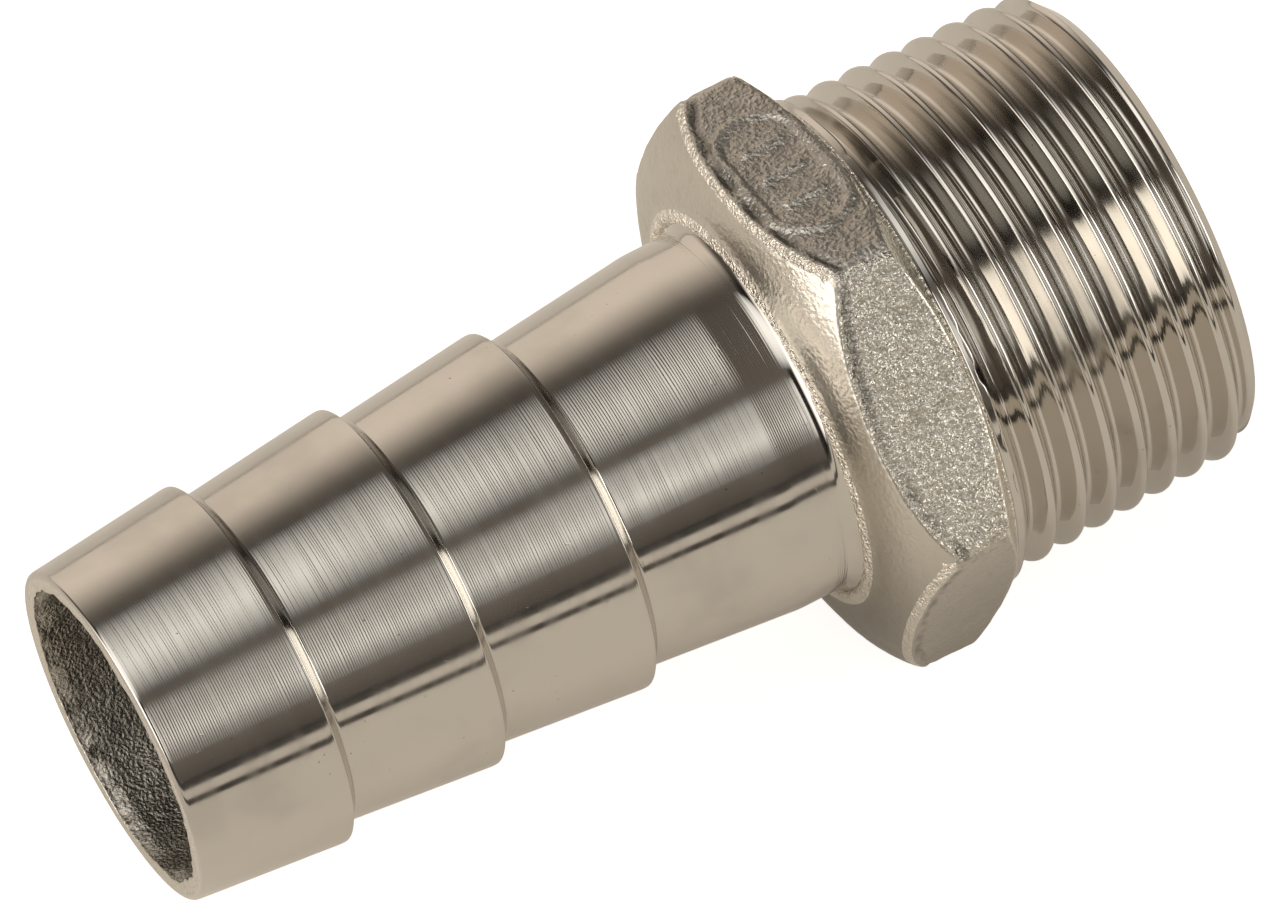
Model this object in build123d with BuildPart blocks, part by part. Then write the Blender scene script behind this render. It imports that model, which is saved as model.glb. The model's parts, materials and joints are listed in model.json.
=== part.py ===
"""Hose barb tail, 3/4 inch: a tapered pipe thread, a hex and three hose ridges on one through bore.

One piece of stainless steel, cast and then turned. The x axis is the axis of the bore, with the
origin at the centre of the thread's end face and +x pointing out of the thread. The hex has one
flat up and one flat down. Sizes are millimetres, and a station is a distance back from the
thread's end face, towards the hose end.
"""
import os
from math import atan, degrees, radians, tan

from build123d import *

# Stations along the axis
LENGTH = 59.45
HEX_FRONT = 14.9
HEX_BACK = 21.8
NECK_END = 24.9
RIDGE_STATIONS = (34.1, 42.8, 51.5)

# Bore and hose end
BORE_RADIUS = 8.0
BORE_BREAK = 0.4
NECK_RADIUS = 9.97
NECK_FILLET = 1.0
RIDGE_RADIUS = 9.95
VALLEY_RADIUS = 9.1
RIDGE_LAND = 0.25
RIDGE_BACK = 0.8
TIP_RADIUS = 9.15
TIP_ROUND = 0.25

# Hex, with a domed back and a chamfered front
ACROSS_FLATS = 28.3
CORNER_ROUND = 1.5
FRONT_FACE_RADIUS = 13.4
FRONT_CORNER_STATION = 16.6
BACK_FACE_RADIUS = 11.4
BACK_FLAT_STATION = 21.1
BACK_CORNER_STATION = 19.2
CORNER_REACH = 16.4

# Plain raised mark on the upper flat
MARK_STATION = 18.0
MARK_LENGTH = 9.8
MARK_WIDTH = 4.8
MARK_LINE = 0.45
MARK_HEIGHT = 0.2
BAR_LENGTH = 2.4
BAR_SPACING = 2.2
BAR_COUNT = 3

# Tapered pipe thread, 14 turns to the inch on a taper of 1 in 16
PITCH = 25.4 / 14
THREAD_DEPTH = 0.64 * PITCH
FLANK_ANGLE = 27.5
ROOT_FLAT = 0.17 * PITCH
CREST_RADIUS = 12.92
RADIUS_TAPER = 1 / 32
START_RADIUS = 11.9
START_STATION = 1.0
LAST_FULL_TURN = 12.3
RUN_OUT_TURNS = 2
RUN_OUT_ANGLE = 19.0
GROOVE_OVERSHOOT = 0.4


def crest_radius(station):
    """Radius over the crests of the tapered thread."""
    return CREST_RADIUS + RADIUS_TAPER * station


def root_radius(station):
    """Radius at the bottom of the groove of the tapered thread."""
    return crest_radius(station) - THREAD_DEPTH


def circles(face):
    """The round edges of a face, smallest first."""
    return face.edges().filter_by(GeomType.CIRCLE).sort_by(SortBy.RADIUS)


def groove_section(path):
    """Draw the groove's section at the start of its helix, with its open side outwards."""
    start = path @ 0
    along = path % 0
    outwards = Vector(0, start.Y, start.Z)
    section_plane = Plane(origin=start, x_dir=outwards.cross(along), z_dir=along)
    height = THREAD_DEPTH + GROOVE_OVERSHOOT
    half_root = ROOT_FLAT / 2
    half_mouth = half_root + height * tan(radians(FLANK_ANGLE))
    with BuildSketch(section_plane) as section:
        Polygon(
            (-half_root, 0),
            (half_root, 0),
            (half_mouth, height),
            (-half_mouth, height),
            align=None,
        )
    return section.sketch


# Hex blank: a hexagonal bar inside a turned envelope
with BuildPart() as hex_blank:
    with BuildSketch(Plane.YZ.offset(-HEX_BACK)) as hexagon:
        RegularPolygon(ACROSS_FLATS / 2, 6, major_radius=False)
        fillet(hexagon.vertices(), CORNER_ROUND)
    extrude(amount=HEX_BACK - HEX_FRONT)
    with BuildSketch(Plane.XZ):
        with BuildLine():
            ThreePointArc(
                (-HEX_BACK, BACK_FACE_RADIUS),
                (-BACK_FLAT_STATION, ACROSS_FLATS / 2),
                (-BACK_CORNER_STATION, CORNER_REACH),
            )
            Polyline(
                (-BACK_CORNER_STATION, CORNER_REACH),
                (-FRONT_CORNER_STATION, CORNER_REACH),
                (-HEX_FRONT, FRONT_FACE_RADIUS),
                (-HEX_FRONT, 0),
                (-HEX_BACK, 0),
                (-HEX_BACK, BACK_FACE_RADIUS),
            )
        make_face()
    revolve(axis=Axis.X, mode=Mode.INTERSECT)

with BuildPart() as tail:
    # Thread blank, a cone with a chamfered start
    with BuildSketch(Plane.XZ):
        Polygon(
            (0, 0),
            (0, START_RADIUS),
            (-START_STATION, crest_radius(START_STATION)),
            (-HEX_FRONT, crest_radius(HEX_FRONT)),
            (-HEX_FRONT, 0),
            align=None,
        )
    revolve(axis=Axis.X)

    # Full thread groove, then two turns more that climb out of the metal towards the hex
    with BuildLine() as full_groove:
        Helix(
            pitch=PITCH,
            height=LAST_FULL_TURN + PITCH,
            radius=root_radius(LAST_FULL_TURN),
            center=(-LAST_FULL_TURN, 0, 0),
            direction=(1, 0, 0),
            cone_angle=-degrees(atan(RADIUS_TAPER)),
        )
    sweep(groove_section(full_groove.line), full_groove.line, is_frenet=True, mode=Mode.SUBTRACT)
    run_out_length = RUN_OUT_TURNS * PITCH
    with BuildLine() as run_out:
        Helix(
            pitch=PITCH,
            height=run_out_length,
            radius=root_radius(LAST_FULL_TURN) + run_out_length * tan(radians(RUN_OUT_ANGLE)),
            center=(-LAST_FULL_TURN - run_out_length, 0, 0),
            direction=(1, 0, 0),
            cone_angle=-RUN_OUT_ANGLE,
        )
    sweep(groove_section(run_out.line), run_out.line, is_frenet=True, mode=Mode.SUBTRACT)

    # Hex, with the neck and the three ridges behind it
    add(hex_blank.part)
    with BuildSketch(Plane.XZ):
        with BuildLine():
            outline = [(-HEX_BACK, 0), (-HEX_BACK, NECK_RADIUS), (-NECK_END, NECK_RADIUS)]
            for station in RIDGE_STATIONS:
                outline.append((-station + RIDGE_BACK, VALLEY_RADIUS))
                outline.append((-station + RIDGE_LAND, RIDGE_RADIUS))
                outline.append((-station, RIDGE_RADIUS))
            outline.append((-LENGTH, TIP_RADIUS))
            outline.append((-LENGTH, 0))
            Polyline(*outline, close=True)
        make_face()
    revolve(axis=Axis.X)
    neck_corner = tail.edges().filter_by(GeomType.CIRCLE).filter_by_position(
        Axis.X, -HEX_BACK, -HEX_BACK
    ).sort_by(SortBy.RADIUS)[0]
    fillet(neck_corner, NECK_FILLET)

    # Bore, with its ends eased
    with BuildSketch(Plane.YZ):
        Circle(BORE_RADIUS)
    extrude(amount=-LENGTH, mode=Mode.SUBTRACT)
    thread_end = tail.faces().sort_by(Axis.X)[-1]
    chamfer(circles(thread_end)[0], BORE_BREAK)
    hose_end = tail.faces().sort_by(Axis.X)[0]
    chamfer(circles(hose_end)[0], BORE_BREAK)
    hose_end = tail.faces().sort_by(Axis.X)[0]
    fillet(circles(hose_end)[-1], TIP_ROUND)

    # Raised mark: a plain oval border around plain bars
    with BuildSketch(Plane.XY.offset(ACROSS_FLATS / 2)):
        with Locations((-MARK_STATION, 0)):
            SlotOverall(MARK_LENGTH, MARK_WIDTH, rotation=90)
            SlotOverall(
                MARK_LENGTH - 2 * MARK_LINE,
                MARK_WIDTH - 2 * MARK_LINE,
                rotation=90,
                mode=Mode.SUBTRACT,
            )
            with GridLocations(0, BAR_SPACING, 1, BAR_COUNT):
                Rectangle(BAR_LENGTH, MARK_LINE)
    extrude(amount=MARK_HEIGHT)

tail.part.label = "hose_tail"
os.makedirs("parts", exist_ok=True)
export_step(tail.part, "parts/hose_tail.step")
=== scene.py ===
"""Hose barb tail, 3/4 inch: one stainless steel casting with a hose end, a hex and a pipe thread.

The axis of the bore is the x axis and the thread's end face is at x = 0. A station is a distance
back from that face, towards the hose end. An angle round the axis is measured from +Y to +Z.
"""

import json
from math import cos, pi, radians, sin, tan

import bpy
import numpy as np
from bpy.props import FloatProperty, FloatVectorProperty, PointerProperty
from mathutils import Matrix, Vector


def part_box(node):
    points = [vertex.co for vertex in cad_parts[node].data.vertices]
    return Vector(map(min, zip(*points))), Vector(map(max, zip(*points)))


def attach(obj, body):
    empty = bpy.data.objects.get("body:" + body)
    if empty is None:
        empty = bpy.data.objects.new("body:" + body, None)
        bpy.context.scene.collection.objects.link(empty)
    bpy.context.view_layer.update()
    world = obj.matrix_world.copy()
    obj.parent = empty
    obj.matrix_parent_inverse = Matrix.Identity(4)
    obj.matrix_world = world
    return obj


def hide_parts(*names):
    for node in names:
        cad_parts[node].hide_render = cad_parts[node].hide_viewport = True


bl_info = {
    "name": "Hose barb tail",
    "version": (1, 0, 0),
    "blender": (4, 5, 0),
    "location": "3D View > Sidebar > Hose tail",
    "description": "Builds a stainless steel hose barb tail with a hex and a tapered pipe thread",
    "category": "Add Mesh",
}

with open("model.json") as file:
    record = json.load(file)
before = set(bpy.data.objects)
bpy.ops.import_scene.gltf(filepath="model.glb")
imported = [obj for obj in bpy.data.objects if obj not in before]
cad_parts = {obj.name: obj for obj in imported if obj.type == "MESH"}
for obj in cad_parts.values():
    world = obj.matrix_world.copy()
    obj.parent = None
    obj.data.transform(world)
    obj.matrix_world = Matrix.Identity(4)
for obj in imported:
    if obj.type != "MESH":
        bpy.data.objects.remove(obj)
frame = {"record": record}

NODE = "hose_tail"
BODY = "root"
MM = 0.001

CAD_LOW, CAD_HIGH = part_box(NODE)
MOUNTS = {mount["name"]: mount for mount in frame["record"]["mounts"]}

# Bore and overall length, from the frame
LENGTH = CAD_HIGH.x - CAD_LOW.x
BORE_RADIUS = MOUNTS["flow_bore"]["dims"]["r_mm"] * MM
HALF_FLATS = -MOUNTS["hex_flat_under"]["pos_m"][2]
BORE_BREAK = 0.4 * MM

# Hose end; the rim's inner edge is a small ragged step into the bore
TIP_RADIUS = 9.15 * MM
TIP_ROUND = 0.25 * MM
RIM_OVER_BORE = 0.09 * MM
RIM_EDGE_DROP = 0.03 * MM
RIM_EDGE_WALL = 0.05 * MM
RIM_BACK_WALL = 0.30 * MM
RIM_SHARES = (0.06, 0.5, 0.9)
RIDGE_STATIONS = (51.5 * MM, 42.8 * MM, 34.1 * MM)
RIDGE_RADIUS = 9.95 * MM
VALLEY_RADIUS = 9.1 * MM
RIDGE_LAND = 0.25 * MM
RIDGE_BACK = 0.8 * MM
RIDGE_ROUNDS = (0.06 * MM, 0.06 * MM, 0.12 * MM)
NECK_STATION = 24.9 * MM
NECK_RADIUS = 9.97 * MM
NECK_ROUND = 0.3 * MM
NECK_FILLET = 1.0 * MM
FILLET_TURN = radians(52)
FILLET_ROWS = 9
CORNER_SUPPORT = 0.05 * MM

# Ragged lip of the cast skin, in mm: outwards from the skin's radius, back from the hex's back,
# share of the raggedness
SKIN_RADIUS = 10.37 * MM
LIP_ROWS = ((0.0, 0.19, 0.3), (0.03, 0.27, 1.0), (0.12, 0.35, 1.0), (0.28, 0.37, 0.8),
            (0.48, 0.31, 0.6), (0.75, 0.17, 0.4), (1.05, 0.04, 0.2))
LIP_BURR_ROWS = 6
LIP_SHIFT_COLUMNS = 7

# Hex
HEX_BACK = 21.8 * MM
HEX_FRONT = 14.9 * MM
CORNER_ROUND = 0.5 * MM
CORNER_REACH = 16.1 * MM
DOME_POINTS = ((21.8 * MM, 11.4 * MM), (21.1 * MM, 14.15 * MM), (19.2 * MM, 16.4 * MM))
FRONT_CORNER_STATION = 16.6 * MM
FRONT_CORNER_RADIUS = 16.4 * MM
FRONT_FACE_RADIUS = 13.4 * MM
BACK_EDGE_ROUND = 0.16 * MM
BACK_EDGE_ROLL = 0.3 * MM
FRONT_EDGE_ROUND = 0.36 * MM
RIM_WIDTH = 0.35 * MM
CONE_END = 0.5 * MM
GROOVE_DEPTH = 0.12 * MM
GROOVE_PLACE = 0.5 * MM
GROOVE_HALF = 0.4 * MM
# Painted shade along each flat's groove: where it starts to fade and where it is gone, as shares of
# the groove's half width
GROOVE_SHADE_SHARES = (0.2, 1.1)
PARTING_ANGLE = radians(150)
PARTING_WIDTH = 0.16 * MM
PARTING_HEIGHT = 0.08 * MM

# Raised mark on the upper flat
MARK_ANGLE = radians(90)
MARK_STATION = 18.0 * MM
MARK_LENGTH = 9.8 * MM
MARK_WIDTH = 4.8 * MM
MARK_LINE = 0.45 * MM
MARK_HEIGHT = 0.2 * MM
MARK_EDGE = 0.09 * MM
BAR_LENGTH = 2.4 * MM
BAR_SPACING = 2.2 * MM

# Rows between the hex's front and the thread, in mm: outwards from the front face's radius, back
# from the step's place, share of the burr, share of the torn edge
BURR_ROWS = ((0.50, 0.64, 1.0, 0.0), (0.49, 0.54, 1.0, 0.0), (0.46, 0.46, 1.0, 0.0),
             (0.36, 0.42, 0.5, 0.0))
STEP_ROWS = ((0.30, 0.42, 0.0, 0.0), (0.28, 0.34, 0.0, 0.0), (0.23, 0.31, 0.0, 0.0),
             (0.15, 0.31, 0.0, 0.0), (0.12, 0.28, 0.0, 0.0), (0.12, 0.22, 0.0, 0.0),
             (0.17, 0.0, 0.0, 0.5), (0.19, -0.12, 0.0, 1.0), (0.12, -0.15, 0.0, 1.0))
STEP_STATION = 14.62 * MM
TORN_REACH = 0.05 * MM
NICK_REACH = 0.09 * MM
NICK_DEPTH = 0.06 * MM
NICK_RANGE = (0.6, 1.0)

# Thread, 14 to the inch at 55 degrees
PITCH = 25.4 * MM / 14
THREAD_DEPTH = 0.6403 * PITCH
THREAD_ROUND = 0.1373 * PITCH
THREAD_HALF_ANGLE = radians(27.5)
CREST_RADIUS = 12.92 * MM
RADIUS_TAPER = 1 / 32
START_RADIUS = 11.9 * MM
START_STATION = 1.0 * MM
CREST_OFFSET = 0.28 * MM
CREST_ANGLE = radians(135)
FULL_THREAD_STATION = 12.6 * MM
RUN_OUT_STATION = 16.4 * MM
THREAD_TOP = 14.5 * MM
SPARE_TURNS = 3

# Unevenness of the cast skin: how far it sinks, and where along x or the radius it fades in
SKIN_SINK = 0.05 * MM
SKIN_FADE = (11.9 * MM, 12.9 * MM)
SIDE_FADE = (13.6 * MM, 13.9 * MM)
MARK_FADE = (0.3 * MM, 0.1 * MM)
BORE_SINK = 0.02 * MM
BORE_FADE = (1.0 * MM, 4.0 * MM)

# Undulations, each (height or share, wavelength, how many sine waves, seed)
RIM_WAVES = ((0.06 * MM, 2.2 * MM, 9, 3), (0.06 * MM, 0.9 * MM, 12, 4))
LIP_WAVES = ((0.02 * MM, 1.6 * MM, 12, 11), (0.022 * MM, 0.5 * MM, 14, 12))
BURR_WAVES = ((0.014 * MM, 1.3 * MM, 14, 23),)
TORN_WAVES = ((0.5, 2.4 * MM, 12, 21), (0.4, 1.3 * MM, 9, 22))
SKIN_WAVES = ((0.035 * MM, 4.0 * MM, 12, 31), (0.016 * MM, 1.5 * MM, 16, 32),
              (0.010 * MM, 0.7 * MM, 20, 33))
GROOVE_WAVES = ((0.6, 1.3 * MM, 14, 34),)
SEAM_WAVES = ((1.0, 1.7 * MM, 14, 35),)
BORE_WAVES = ((0.05 * MM, 3.0 * MM, 12, 41), (0.02 * MM, 1.0 * MM, 20, 42))

# Finishes, in the order of the mesh's materials; an edge is a rim by a dull flat, else dome.
# The rim's colour is raised as a painted highlight.
TURNED, CAST, THREADED, BORE, DOME, DULL, RIM, SMOOTH, EDGE = range(9)

# Grid
COLUMNS = 276
ANGLE_SAMPLES = 7201
ARC_STEPS = 7
DOME_ROWS = 12
EDGE_ROWS = 4
ROUND_ROWS = 8
FLAT_ROWS = 39
CONE_ROWS = 5
FACE_SHARES = (0.04, 0.5, 0.96)
SEEN_BORE = 14 * MM
SEEN_BORE_ROWS = 26
FAR_BORE_ROWS = 14
MERGE_DISTANCE = 0.0005 * MM

# Columns crowd at corners, parting lines and mark: (extra density, degrees)
CORNER_CROWD = (1.6, 3.0)
PARTING_CROWD = (3.0, 1.2)
MARK_CROWD = (1.5, (20, 22))


def smooth(value, low, high):
    """0 below low, 1 above high and 3t^2 - 2t^3 between them."""
    t = np.clip((value - low) / (high - low), 0.0, 1.0)
    return t * t * (3.0 - 2.0 * t)


def undulation(points, wavelength, waves, seed):
    """Sum of seeded sine waves over space, about -1 to 1, whose lengths are near one wavelength."""
    random = np.random.default_rng(seed)
    heading = random.normal(size=(waves, 3))
    heading /= np.linalg.norm(heading, axis=1, keepdims=True)
    number = 2 * np.pi / (wavelength * random.uniform(0.7, 1.5, waves))
    phase = random.uniform(0, 2 * np.pi, waves)
    total = np.zeros(points.shape[:-1])
    for step in range(waves):
        total += np.sin(points @ (heading[step] * number[step]) + phase[step])
    return total / np.sqrt(waves)


def unevenness(points, table):
    """Sum of the undulations in a table, each times its height."""
    return sum(height * undulation(points, *wave) for height, *wave in table)


def shares(rows):
    """Even shares over so many rows, from 1 / rows up to 1, as a column."""
    return np.linspace(0, 1, rows + 1)[1:, None]


def column_angles():
    """Angles round the axis, packed closer at the hex's corners, parting lines and raised mark.

    The density of columns is 1 plus a bump at each corner and line and a plateau over the mark.
    Its running sum, scaled to 0..1, is inverted at even steps, and the column nearest to each
    corner is moved onto it.
    """
    angle = np.linspace(0, 2 * np.pi, ANGLE_SAMPLES)
    to_corner = (np.degrees(angle) + 30) % 60 - 30
    to_mark = np.abs(np.degrees(angle - MARK_ANGLE))
    to_part = (np.degrees(angle - PARTING_ANGLE) + 90) % 180 - 90
    density = 1 + CORNER_CROWD[0] * np.exp(-((to_corner / CORNER_CROWD[1]) ** 2))
    density += MARK_CROWD[0] * (1 - smooth(to_mark, *MARK_CROWD[1]))
    density += PARTING_CROWD[0] * np.exp(-((to_part / PARTING_CROWD[1]) ** 2))
    total = np.concatenate([[0], np.cumsum((density[1:] + density[:-1]) / 2)])
    columns = np.interp(np.arange(COLUMNS) / COLUMNS, total / total[-1], angle)
    corners = np.arange(6) * np.pi / 3
    nearest = np.abs(columns[:, None] - corners[None, :]).argmin(axis=0)
    columns[nearest] = corners
    return columns


def at_points(station, radius, angle):
    """Points in space for a station, a radius and an angle round the axis."""
    station, radius, angle = np.broadcast_arrays(station, radius, angle)
    return np.stack([-station, radius * np.cos(angle), radius * np.sin(angle)], axis=-1)


def eased(corners, rounds, support, steps=4):
    """A polyline of (station, radius) with its inner corners rounded, as a list of points.

    Each corner P with neighbours A and B becomes the curve (1-t)^2 P1 + 2t(1-t) P + t^2 P2, where
    P1 and P2 lie a given distance from P towards A and B. Long straights get a point near each end,
    so that smooth shading stays in the corner.
    """
    corners = np.array(corners, float)
    t = np.linspace(0, 1, steps + 1)[:, None]
    pieces = [corners[:1]]
    for before, corner, after, reach in zip(corners[:-2], corners[1:-1], corners[2:], rounds):
        to_before = (before - corner) / np.linalg.norm(before - corner)
        to_after = (after - corner) / np.linalg.norm(after - corner)
        first = corner + reach * to_before
        last = corner + reach * to_after
        curve = (1 - t) ** 2 * first + 2 * t * (1 - t) * corner + t**2 * last
        pieces += [first[None] + support * to_before, curve, last[None] + support * to_after]
    pieces.append(corners[-1:])
    return np.concatenate(pieces)


def hex_radius(angle):
    """Radius of the hexagon with round corners at an angle: a / cos(d) on a flat, d from its middle.

    Near a corner it is c cos(e) + sqrt(r^2 - c^2 sin^2(e)), with c the distance of the corner arc's
    centre from the axis, r the arc's radius and e the angle from the corner.
    """
    from_flat = angle % (np.pi / 3) - np.pi / 6
    flat = HALF_FLATS / np.cos(from_flat)
    centre = (HALF_FLATS - CORNER_ROUND) / np.cos(np.pi / 6)
    touch = np.arctan((HALF_FLATS - CORNER_ROUND) * np.tan(np.pi / 6) / HALF_FLATS)
    from_corner = np.pi / 6 - np.abs(from_flat)
    inside = np.maximum(CORNER_ROUND**2 - (centre * np.sin(from_corner)) ** 2, 0)
    corner = centre * np.cos(from_corner) + np.sqrt(inside)
    return np.minimum(np.where(np.abs(from_flat) > touch, corner, flat), CORNER_REACH)


def dome_station(radius):
    """Station of the hex's back face at a radius: a circle through the three dome points."""
    (s1, r1), (s2, r2), (s3, r3) = DOME_POINTS
    matrix = 2 * np.array([[s2 - s1, r2 - r1], [s3 - s1, r3 - r1]])
    right = np.array([s2**2 - s1**2 + r2**2 - r1**2, s3**2 - s1**2 + r3**2 - r1**2])
    centre_s, centre_r = np.linalg.solve(matrix, right)
    size = np.hypot(s1 - centre_s, r1 - centre_r)
    return centre_s + np.sqrt(size**2 - (radius - centre_r) ** 2)


def front_station(radius):
    """Station of the hex's front cone at a radius: a straight line in the half section."""
    slope = (FRONT_CORNER_STATION - HEX_FRONT) / (FRONT_CORNER_RADIUS - FRONT_FACE_RADIUS)
    return HEX_FRONT + slope * (radius - FRONT_FACE_RADIUS)


def mark_share(station, side):
    """Share of the raised mark's height: lines of soft edge round an oval and along three bars.

    The distance to the oval's middle line is |distance to its long axis - its end radius|, and the
    share is 1 inside half a line's width, falling smoothly to 0 outside it.
    """
    along = station - MARK_STATION
    end_radius = (MARK_WIDTH - MARK_LINE) / 2
    half_straight = MARK_LENGTH / 2 - MARK_LINE / 2 - end_radius
    past_end = np.maximum(np.abs(side) - half_straight, 0)
    to_oval = np.abs(np.hypot(past_end, along) - end_radius)
    nearest_bar = side - BAR_SPACING * np.clip(np.round(side / BAR_SPACING), -1, 1)
    past_bar = np.maximum(np.abs(along) - (BAR_LENGTH - MARK_LINE) / 2, 0)
    to_bar = np.hypot(nearest_bar, past_bar)
    distance = np.minimum(to_oval, to_bar)
    half_line = MARK_LINE / 2
    return 1 - smooth(distance, half_line - MARK_EDGE / 2, half_line + MARK_EDGE)


def thread_form(turn):
    """Depth below the crest, 0 to the full depth, over one turn from crest (0) to crest (1).

    A round crest, a straight flank and a round root. With r the round's radius and f the flank's
    angle, the arc ends r cos f from the middle and r (1 - sin f) down.
    """
    x = np.abs((turn + 0.5) % 1.0 - 0.5) * PITCH
    arc_x = THREAD_ROUND * np.cos(THREAD_HALF_ANGLE)
    arc_drop = THREAD_ROUND * (1 - np.sin(THREAD_HALF_ANGLE))
    crest = THREAD_ROUND - np.sqrt(np.maximum(THREAD_ROUND**2 - x**2, 0))
    from_root = PITCH / 2 - x
    root = THREAD_ROUND - np.sqrt(np.maximum(THREAD_ROUND**2 - from_root**2, 0))
    flank = arc_drop + (x - arc_x) / np.tan(THREAD_HALF_ANGLE)
    return np.where(x < arc_x, crest, np.where(from_root < arc_x, THREAD_DEPTH - root, flank))


def thread_radius(station, angle):
    """Radius of the thread: the tapered crest less the form, fading out towards the hex."""
    turn = (-station + CREST_OFFSET) / PITCH - (angle - CREST_ANGLE) / (2 * np.pi)
    fade = 1 - smooth(station, FULL_THREAD_STATION, RUN_OUT_STATION)
    radius = CREST_RADIUS + RADIUS_TAPER * station - fade * thread_form(turn)
    start_slope = (CREST_RADIUS + RADIUS_TAPER * START_STATION - START_RADIUS) / START_STATION
    return np.minimum(radius, START_RADIUS + start_slope * station)


def thread_rows(angle):
    """Rows that follow the helix, cut off flat at the thread's top and at the end face.

    Row k is at x = first + (its place in the turn) + pitch * angle / 360 degrees, held between the
    two planes. The places in a turn crowd on the round crest and root. Returned with the number of
    rows in a turn.
    """
    arc = THREAD_ROUND * np.cos(THREAD_HALF_ANGLE) / PITCH
    places = np.concatenate([
        np.linspace(-arc, arc, ARC_STEPS),
        [0.25],
        np.linspace(0.5 - arc, 0.5 + arc, ARC_STEPS),
        [0.75],
    ])
    turns = np.arange(-SPARE_TURNS, int(HEX_FRONT / PITCH) + SPARE_TURNS)
    base = (turns[:, None] + places[None, :]).ravel() * PITCH
    first = -PITCH * np.ceil(HEX_FRONT / PITCH) - CREST_OFFSET
    x = first + base[:, None] + PITCH * (angle[None, :] - CREST_ANGLE) / (2 * np.pi)
    station = np.clip(-x, 0, THREAD_TOP)
    return station, thread_radius(station, angle[None, :]), len(places)


class Shell:
    """Rows of points round the axis, joined into one closed skin."""

    def __init__(self, angle):
        self.angle = angle
        self.points = []
        self.finish = []

    def add(self, station, radius, finish):
        """Append rows; the strip up to and including them has the given finish."""
        rows = at_points(station, radius, self.angle[None, :])
        self.points.append(rows)
        self.finish.append(np.full(len(rows), finish))

    def add_profile(self, profile, finish):
        """Append a profile of (station, radius), carried round the axis unchanged."""
        profile = np.asarray(profile, float)
        self.add(profile[:, :1], profile[:, 1:], finish)

    def row_count(self):
        """How many rows there are so far."""
        return sum(len(rows) for rows in self.points)


def add_rim(shell):
    """The hose end's face: a ragged step out of the bore, then flat out to the tip's round."""
    edge_points = at_points(LENGTH, BORE_RADIUS, shell.angle)
    edge = (BORE_RADIUS + RIM_OVER_BORE + unevenness(edge_points, RIM_WAVES))[None, :]
    edge_station = LENGTH - RIM_EDGE_DROP
    shell.add(edge_station - RIM_BACK_WALL, (edge + BORE_RADIUS) / 2, BORE)
    shell.add(edge_station - RIM_EDGE_WALL, edge, BORE)
    shell.add(edge_station, edge, BORE)
    face = edge + np.array(RIM_SHARES)[:, None] * (TIP_RADIUS - TIP_ROUND - edge)
    shell.add(LENGTH, face, SMOOTH)


def add_barb(shell):
    """The tip, three ridges and neck, with eased corners, and a fillet: part of a circle."""
    corners = [(LENGTH, TIP_RADIUS - 2 * TIP_ROUND), (LENGTH, TIP_RADIUS)]
    rounds = [TIP_ROUND]
    for station in RIDGE_STATIONS:
        corners.append((station, RIDGE_RADIUS))
        corners.append((station - RIDGE_LAND, RIDGE_RADIUS))
        corners.append((station - RIDGE_BACK, VALLEY_RADIUS))
        rounds += RIDGE_ROUNDS
    corners += [(NECK_STATION, NECK_RADIUS), (HEX_BACK + NECK_FILLET, NECK_RADIUS)]
    rounds.append(NECK_ROUND)
    shell.add_profile(eased(corners, rounds, CORNER_SUPPORT)[2:-1], TURNED)
    turn = np.linspace(0, FILLET_TURN, FILLET_ROWS)
    fillet = np.stack([
        HEX_BACK + NECK_FILLET * (1 - np.sin(turn)),
        NECK_RADIUS + NECK_FILLET * (1 - np.cos(turn)),
    ], axis=1)
    shell.add_profile(fillet, TURNED)


def add_dome(shell, hexagon):
    """The ragged lip where turning stopped, then the dome out to just inside the hexagon."""
    lip_points = at_points(HEX_BACK, SKIN_RADIUS, shell.angle)
    ragged = unevenness(lip_points, LIP_WAVES)
    out, back, share = np.array(LIP_ROWS).T[:, :, None]
    radius = SKIN_RADIUS + share * ragged + out * MM
    station = HEX_BACK + back * MM + share * np.roll(ragged, LIP_SHIFT_COLUMNS)
    shell.add(station[:LIP_BURR_ROWS], radius[:LIP_BURR_ROWS], RIM)
    shell.add(station[LIP_BURR_ROWS:], radius[LIP_BURR_ROWS:], DOME)
    start = radius[-1]
    end = hexagon - BACK_EDGE_ROUND
    dome = start + shares(DOME_ROWS) * (end - RIM_WIDTH - start)
    shell.add(dome_station(dome), dome, DOME)
    rim = end - RIM_WIDTH + shares(EDGE_ROWS) * RIM_WIDTH
    shell.add(dome_station(rim), rim, EDGE)


def add_flats(shell, hexagon):
    """The flats and the front cone, with edges eased by curves (1-t)^2 A + 2t(1-t) B + t^2 C."""
    t = shares(ROUND_ROWS)
    half = ROUND_ROWS // 2
    back = dome_station(hexagon)
    back_start = dome_station(hexagon - BACK_EDGE_ROUND)
    flat_back = back - BACK_EDGE_ROLL
    station = (1 - t) ** 2 * back_start + 2 * t * (1 - t) * back + t**2 * flat_back
    radius = (1 - t) ** 2 * (hexagon - BACK_EDGE_ROUND) + (1 - (1 - t) ** 2) * hexagon
    shell.add(station[:half], radius[:half], EDGE)
    shell.add(station[half:], radius[half:], CAST)
    front = front_station(hexagon)
    flat_front = front + FRONT_EDGE_ROUND
    shell.add(flat_back + shares(FLAT_ROWS) * (flat_front - flat_back), hexagon, CAST)
    front_end = hexagon - FRONT_EDGE_ROUND
    station = (1 - t) ** 2 * flat_front + 2 * t * (1 - t) * front + t**2 * front_station(front_end)
    radius = (1 - t**2) * hexagon + t**2 * front_end
    shell.add(station[:half], radius[:half], CAST)
    shell.add(station[half:], radius[half:], SMOOTH)
    cone = front_end + shares(CONE_ROWS) * (FRONT_FACE_RADIUS + CONE_END - front_end)
    shell.add(front_station(cone), cone, SMOOTH)


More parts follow.
